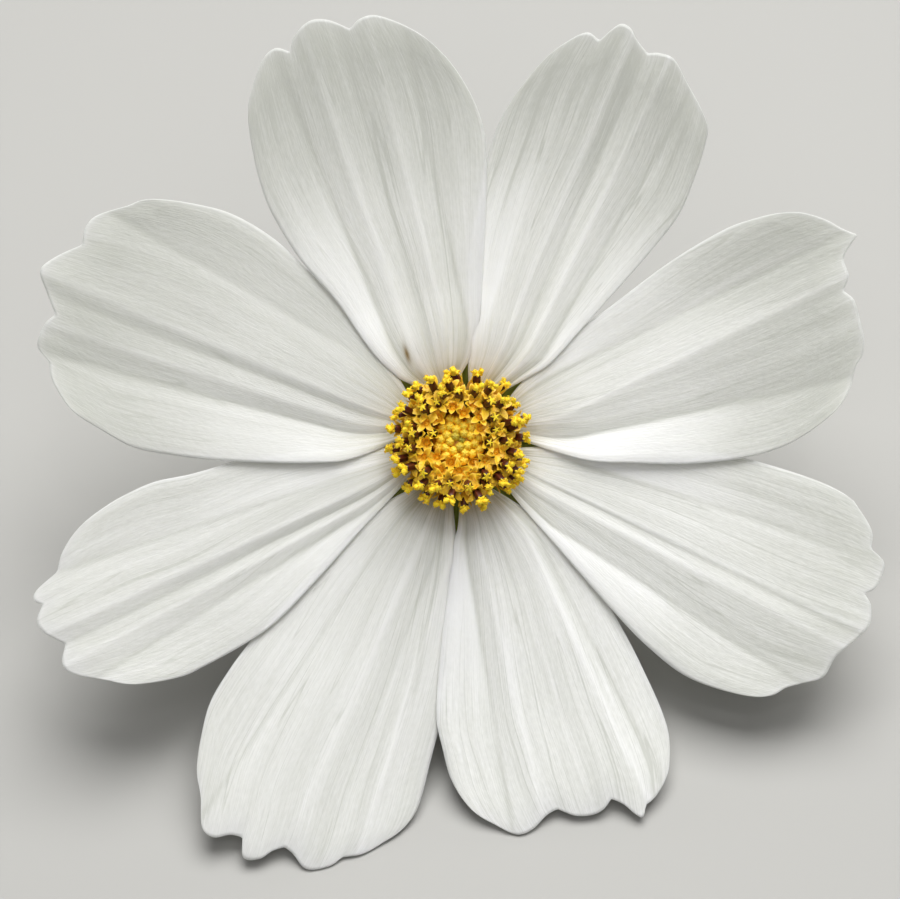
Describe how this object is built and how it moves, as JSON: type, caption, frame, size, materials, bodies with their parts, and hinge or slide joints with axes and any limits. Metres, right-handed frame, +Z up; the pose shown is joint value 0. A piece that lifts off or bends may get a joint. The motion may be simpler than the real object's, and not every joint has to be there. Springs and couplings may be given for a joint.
{
  "type": "cosmos flower",
  "caption": "Open white cosmos flower as picked: broad toothed petals round a yellow disc of florets, green bracts behind, and a short bent cut stem that lies on the surface.",
  "frame": {"origin": "under the middle of the bounding box, on the surface the flower lies on", "axes": "+Z up; the flower faces -Y and upwards; +Y runs towards the cut end of the lying stem"},
  "size_m": [0.0808, 0.0972, 0.0465],
  "materials": {
    "petal": "satin, thin and translucent",
    "inner_bract": "papery",
    "outer_bract": "matte leaf",
    "receptacle": "matte leaf",
    "disc_bud": "waxy",
    "disc_floret": "waxy with pollen",
    "stem": "matte ribbed stem"
  },
  "bodies": {
    "root": {"petal_1": "petal", "petal_2": "petal", "petal_3": "petal", "petal_4": "petal", "petal_5": "petal", "petal_6": "petal", "petal_7": "petal", "petal_8": "petal", "inner_bract_1": "inner_bract", "inner_bract_2": "inner_bract", "inner_bract_3": "inner_bract", "inner_bract_4": "inner_bract", "inner_bract_5": "inner_bract", "inner_bract_6": "inner_bract", "inner_bract_7": "inner_bract", "inner_bract_8": "inner_bract", "outer_bract_1": "outer_bract", "outer_bract_2": "outer_bract", "outer_bract_3": "outer_bract", "outer_bract_4": "outer_bract", "outer_bract_5": "outer_bract", "outer_bract_6": "outer_bract", "outer_bract_7": "outer_bract", "outer_bract_8": "outer_bract", "receptacle": "receptacle", "disc_centre": "disc_bud", "disc_floret_01": "disc_floret", "disc_floret_02": "disc_floret", "disc_floret_03": "disc_floret", "disc_floret_04": "disc_floret", "disc_floret_05": "disc_floret", "disc_floret_06": "disc_floret", "disc_floret_07": "disc_floret", "disc_floret_08": "disc_floret", "disc_floret_09": "disc_floret", "disc_floret_10": "disc_floret", "disc_floret_11": "disc_floret", "disc_floret_12": "disc_floret", "disc_floret_13": "disc_floret", "disc_floret_14": "disc_floret", "disc_floret_15": "disc_floret", "disc_floret_16": "disc_floret", "disc_floret_17": "disc_floret", "disc_floret_18": "disc_floret", "disc_floret_19": "disc_floret", "disc_floret_20": "disc_floret", "disc_floret_21": "disc_floret", "disc_floret_22": "disc_floret", "disc_floret_23": "disc_floret", "disc_floret_24": "disc_floret", "disc_floret_25": "disc_floret", "disc_floret_26": "disc_floret", "disc_floret_27": "disc_floret", "disc_floret_28": "disc_floret", "disc_floret_29": "disc_floret", "disc_floret_30": "disc_floret", "disc_floret_31": "disc_floret", "disc_floret_32": "disc_floret", "disc_floret_33": "disc_floret", "stem": "stem"}
  },
  "joints": []
}
